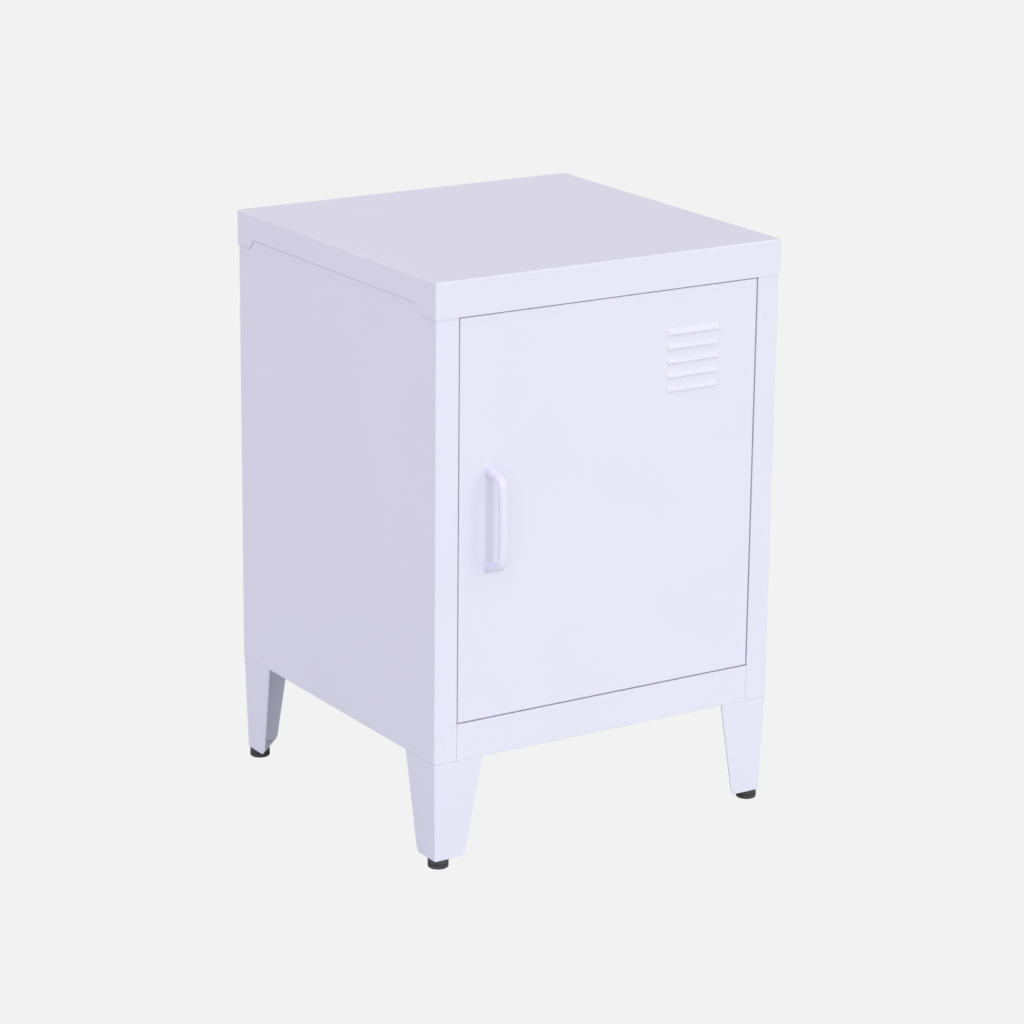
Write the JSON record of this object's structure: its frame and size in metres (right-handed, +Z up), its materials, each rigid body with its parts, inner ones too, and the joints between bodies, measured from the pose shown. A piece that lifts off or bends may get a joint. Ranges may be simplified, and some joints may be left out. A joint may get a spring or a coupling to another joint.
{
  "type": "locker cabinet",
  "caption": "Small sheet-steel locker cabinet with a hinged louvred door, bow handle, inner shelf and folded corner legs on levelling feet.",
  "frame": {"origin": "on the floor, below the middle of the whole object's bounding box", "axes": "+Z up, the door faces -Y, the door's hinge is on the +X side"},
  "size_m": [0.4, 0.4198, 0.5908],
  "materials": {
    "body_paint": "fine satin powder coat, pale lilac white",
    "door_paint": "fine satin powder coat, pale lilac white",
    "handle_paint": "satin powder coat over cast zinc",
    "leg_paint": "fine satin powder coat, pale lilac white",
    "rivet_paint": "rivet heads in the cabinet's colour",
    "foot_plastic": "black moulded plastic",
    "zinc_steel": "bright zinc plating",
    "bush_nylon": "natural nylon",
    "catch_plastic": "light grey moulded plastic",
    "magnet_ferrite": "dark sintered ferrite",
    "bumper_rubber": "translucent grey soft rubber"
  },
  "bodies": {
    "cabinet": {"top_panel": "body_paint", "left_side_panel": "body_paint", "right_side_panel": "body_paint", "back_panel": "body_paint", "bottom_panel": "body_paint", "shelf_rail_left": "body_paint", "shelf_rail_right": "body_paint", "leg_front_left": "leg_paint", "leg_front_right": "leg_paint", "leg_back_left": "leg_paint", "leg_back_right": "leg_paint", "foot_weld_nuts": "zinc_steel", "leg_screws": "zinc_steel", "leg_nuts": "zinc_steel", "top_studs": "zinc_steel", "top_nuts": "zinc_steel", "catch_screws": "zinc_steel", "catch_pole_plates": "zinc_steel", "back_rivets": "rivet_paint", "hinge_bush_top": "bush_nylon", "hinge_bush_bottom": "bush_nylon", "catch_housing": "catch_plastic", "catch_magnet": "magnet_ferrite", "door_bumpers": "bumper_rubber"},
    "door": {"door_panel": "door_paint", "door_stiffener": "door_paint", "door_handle": "handle_paint", "handle_screws": "zinc_steel", "handle_washers": "zinc_steel", "hinge_pin_top": "zinc_steel", "hinge_pin_bottom": "zinc_steel"},
    "shelf": {"shelf": "body_paint"},
    "foot_front_left": {"foot_pad_front_left": "foot_plastic", "foot_stem_front_left": "zinc_steel"},
    "foot_front_right": {"foot_pad_front_right": "foot_plastic", "foot_stem_front_right": "zinc_steel"},
    "foot_back_left": {"foot_pad_back_left": "foot_plastic", "foot_stem_back_left": "zinc_steel"},
    "foot_back_right": {"foot_pad_back_right": "foot_plastic", "foot_stem_back_right": "zinc_steel"}
  },
  "joints": [
    {"name": "door_hinge", "type": "hinge", "parent": "cabinet", "child": "door", "pos_m": [0.1594, -0.1749, 0.3508], "axis": [0, 0, 1], "range_deg": [0, 120]},
    {"name": "shelf_lift", "type": "slide", "parent": "cabinet", "child": "shelf", "axis": [0, 0, 1], "range_m": [0, 0.025]},
    {"name": "foot_front_left_screw", "type": "slide", "parent": "cabinet", "child": "foot_front_left", "axis": [0, 0, -1], "range_m": [0, 0.012]},
    {"name": "foot_front_right_screw", "type": "slide", "parent": "cabinet", "child": "foot_front_right", "axis": [0, 0, -1], "range_m": [0, 0.012]},
    {"name": "foot_back_left_screw", "type": "slide", "parent": "cabinet", "child": "foot_back_left", "axis": [0, 0, -1], "range_m": [0, 0.012]},
    {"name": "foot_back_right_screw", "type": "slide", "parent": "cabinet", "child": "foot_back_right", "axis": [0, 0, -1], "range_m": [0, 0.012]}
  ]
}
